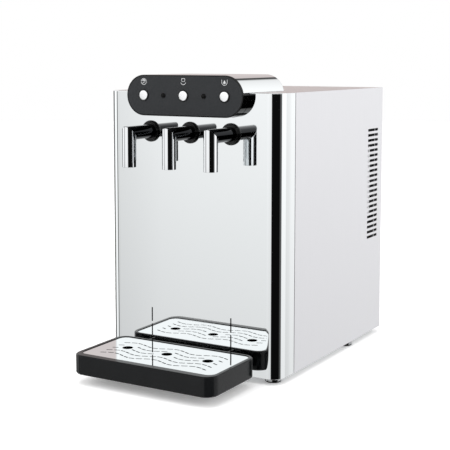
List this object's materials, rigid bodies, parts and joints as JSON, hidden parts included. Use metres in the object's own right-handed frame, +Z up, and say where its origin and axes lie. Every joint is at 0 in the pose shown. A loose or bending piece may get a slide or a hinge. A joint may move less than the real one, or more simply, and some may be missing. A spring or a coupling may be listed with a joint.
{
  "type": "countertop water dispenser",
  "caption": "Countertop water dispenser: polished steel box, pill-shaped push-button head with hood, mitred spouts and a hanging drip tray with a slotted drain plate.",
  "frame": {"origin": "on the worktop, under the middle of the whole object's bounding box", "axes": "+Z up, -Y towards the user (spouts and drip tray), +X to the user's right"},
  "size_m": [0.32, 0.5626, 0.4766],
  "materials": {
    "zinc_steel": "satin zinc-coated sheet",
    "mirror_steel": "mirror-polished stainless sheet",
    "satin_steel": "fine satin stainless sheet",
    "chrome": "polished chrome plate",
    "rubber": "matt rubber",
    "black_gloss": "gloss moulded plastic",
    "face_plastic": "fine matt moulded plastic",
    "circuit_board": "solder-resist green laminate",
    "tray_plastic": "semi-gloss moulded plastic",
    "stainless": "drawn stainless",
    "black_paint": "black stove enamel",
    "copper": "copper pipe and fins",
    "grey_plastic": "pale grey moulded plastic",
    "black_plastic": "black moulded plastic",
    "foam": "expanded foam",
    "brass": "machined brass",
    "hose": "blue food-grade tube"
  },
  "bodies": {
    "body": {"base_pan": "zinc_steel", "front_panel": "mirror_steel", "left_side_panel": "satin_steel", "right_side_panel": "satin_steel", "top_panel": "satin_steel", "rear_panel": "zinc_steel", "foot_front_left": "chrome", "foot_front_right": "chrome", "foot_rear_left": "chrome", "foot_rear_right": "chrome", "foot_pad_front_left": "rubber", "foot_pad_front_right": "rubber", "foot_pad_rear_left": "rubber", "foot_pad_rear_right": "rubber", "head_housing": "black_gloss", "hood_cover": "mirror_steel", "face_plate": "face_plastic", "button_ring_left": "black_gloss", "button_ring_middle": "black_gloss", "button_ring_right": "black_gloss", "indicator_left": "black_gloss", "indicator_right": "black_gloss", "control_board": "circuit_board", "spout_tube_left": "chrome", "spout_tube_middle": "chrome", "spout_tube_right": "chrome", "spout_arm_left": "chrome", "spout_arm_middle": "chrome", "spout_arm_right": "chrome", "collar_left": "black_gloss", "collar_middle": "black_gloss", "collar_right": "black_gloss", "nozzle_left": "rubber", "nozzle_middle": "rubber", "nozzle_right": "rubber", "compressor": "black_paint", "condenser": "black_paint", "fan_frame": "black_plastic", "air_baffle": "grey_plastic", "tank_insulation": "foam", "cold_tank": "stainless", "evaporator_coil": "copper", "carbonator": "stainless", "water_pump": "brass", "valve_block": "grey_plastic", "hose_left": "hose", "hose_middle": "hose", "hose_right": "hose", "power_supply": "zinc_steel", "power_inlet": "black_plastic", "water_inlet": "brass", "gas_inlet": "brass"},
    "button_left": {"button_left": "chrome"},
    "button_middle": {"button_middle": "chrome"},
    "button_right": {"button_right": "chrome"},
    "tray": {"drip_tray": "tray_plastic", "tray_bracket": "black_paint"},
    "grid": {"tray_grid": "mirror_steel"},
    "rotor": {"fan_rotor": "black_plastic"},
    "rocker": {"power_switch": "black_plastic"}
  },
  "joints": [
    {"name": "press_left", "type": "slide", "parent": "body", "child": "button_left", "axis": [0, 1, 0], "range_m": [0, 0.0015], "stiffness_N_per_m": 700},
    {"name": "press_middle", "type": "slide", "parent": "body", "child": "button_middle", "axis": [0, 1, 0], "range_m": [0, 0.0015], "stiffness_N_per_m": 700},
    {"name": "press_right", "type": "slide", "parent": "body", "child": "button_right", "axis": [0, 1, 0], "range_m": [0, 0.0015], "stiffness_N_per_m": 700},
    {"name": "tray_lift", "type": "slide", "parent": "body", "child": "tray", "axis": [0, 0, 1], "range_m": [0, 0.013]},
    {"name": "grid_lift", "type": "slide", "parent": "tray", "child": "grid", "axis": [0, 0, 1], "range_m": [0, 0.06]},
    {"name": "fan_spin", "type": "hinge", "parent": "body", "child": "rotor", "pos_m": [0.068, 0.21535, 0.275], "axis": [0, 1, 0], "continuous": true},
    {"name": "power_rock", "type": "hinge", "parent": "body", "child": "rocker", "pos_m": [-0.08, 0.26615, 0.372], "axis": [1, 0, 0], "range_deg": [0, 16]}
  ]
}
